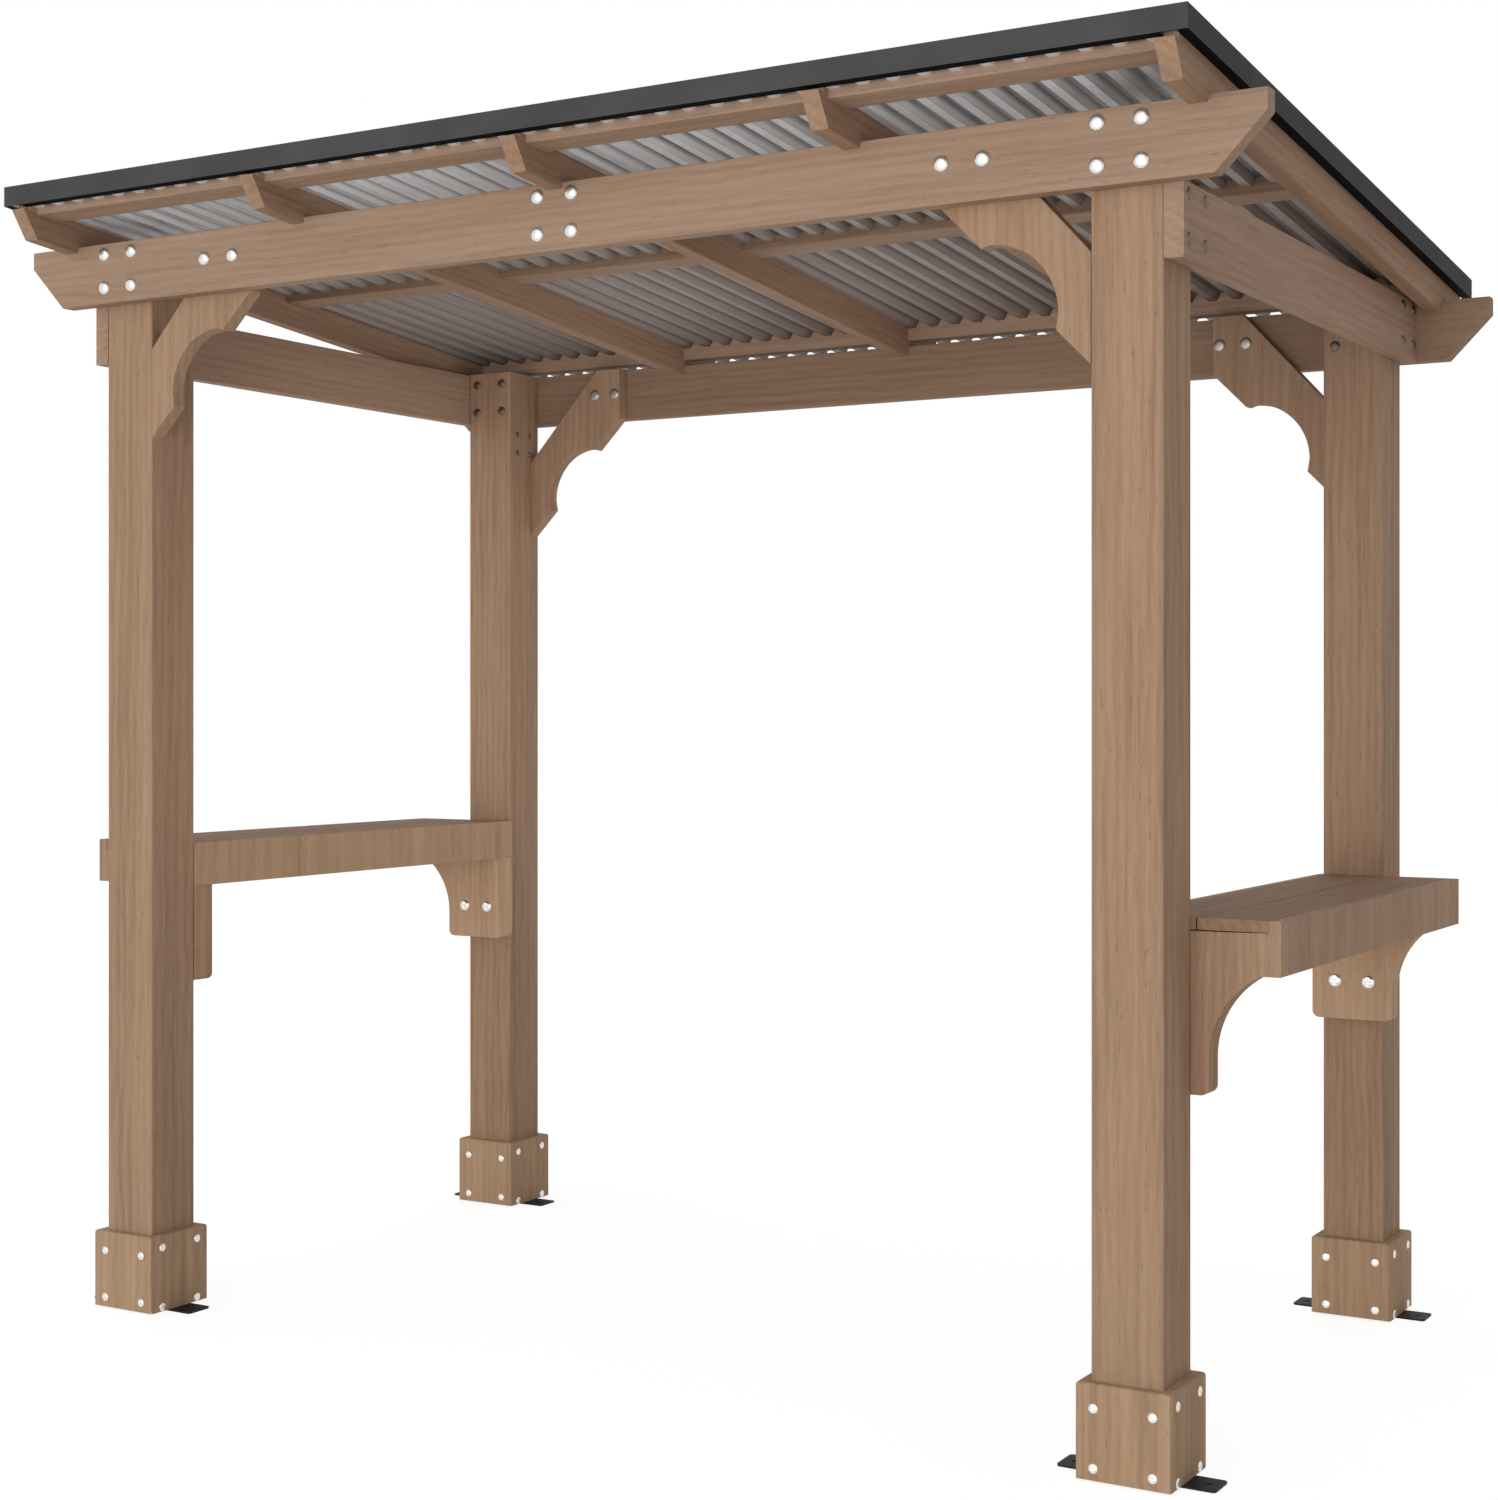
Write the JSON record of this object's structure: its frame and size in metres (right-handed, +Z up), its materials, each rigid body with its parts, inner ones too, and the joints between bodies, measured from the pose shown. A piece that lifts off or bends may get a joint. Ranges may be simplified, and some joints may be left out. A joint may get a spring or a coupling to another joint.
{
  "type": "grill gazebo",
  "caption": "Open timber grill gazebo with a single-slope ribbed steel roof, scalloped knee braces, trimmed posts and a serving shelf outside each side.",
  "frame": {"origin": "bottom centre of the bounding box, on the ground", "axes": "+X along the two long beams to the right seen from the high front, +Y from the high front to the low back, +Z up"},
  "size_m": [3.026, 1.946, 2.6061],
  "materials": {
    "cedar_timber": "satin",
    "cedar_boards": "satin",
    "galvanised_sheet": "satin",
    "dark_trim": "satin",
    "zinc_plated": "satin",
    "black_steel": "satin"
  },
  "bodies": {
    "root": {"back_beam": "cedar_timber", "base_trim_back_left": "cedar_boards", "base_trim_back_right": "cedar_boards", "base_trim_front_left": "cedar_boards", "base_trim_front_right": "cedar_boards", "blocking_back": "cedar_timber", "blocking_front": "cedar_timber", "blocking_middle": "cedar_timber", "foot_plate_back_left": "black_steel", "foot_plate_back_right": "black_steel", "foot_plate_front_left": "black_steel", "foot_plate_front_right": "black_steel", "front_beam": "cedar_timber", "knee_brace_back_left": "cedar_timber", "knee_brace_back_right": "cedar_timber", "knee_brace_front_left": "cedar_timber", "knee_brace_front_right": "cedar_timber", "post_back_left": "cedar_timber", "post_back_right": "cedar_timber", "post_front_left": "cedar_timber", "post_front_right": "cedar_timber", "rafter_1": "cedar_timber", "rafter_2": "cedar_timber", "rafter_3": "cedar_timber", "rafter_4": "cedar_timber", "rafter_5": "cedar_timber", "roof_sheet_1": "galvanised_sheet", "roof_sheet_2": "galvanised_sheet", "roof_sheet_3": "galvanised_sheet", "roof_sheet_4": "galvanised_sheet", "roof_trim_front": "dark_trim", "roof_trim_left": "dark_trim", "roof_trim_right": "dark_trim", "shelf_bracket_back_left": "cedar_boards", "shelf_bracket_back_right": "cedar_boards", "shelf_bracket_front_left": "cedar_boards", "shelf_bracket_front_right": "cedar_boards", "shelf_inner_board_left": "cedar_boards", "shelf_inner_board_right": "cedar_boards", "shelf_outer_board_left": "cedar_boards", "shelf_outer_board_right": "cedar_boards", "shelf_planks_left": "cedar_boards", "shelf_planks_right": "cedar_boards", "side_beam_left": "cedar_timber", "side_beam_right": "cedar_timber"}
  },
  "joints": []
}
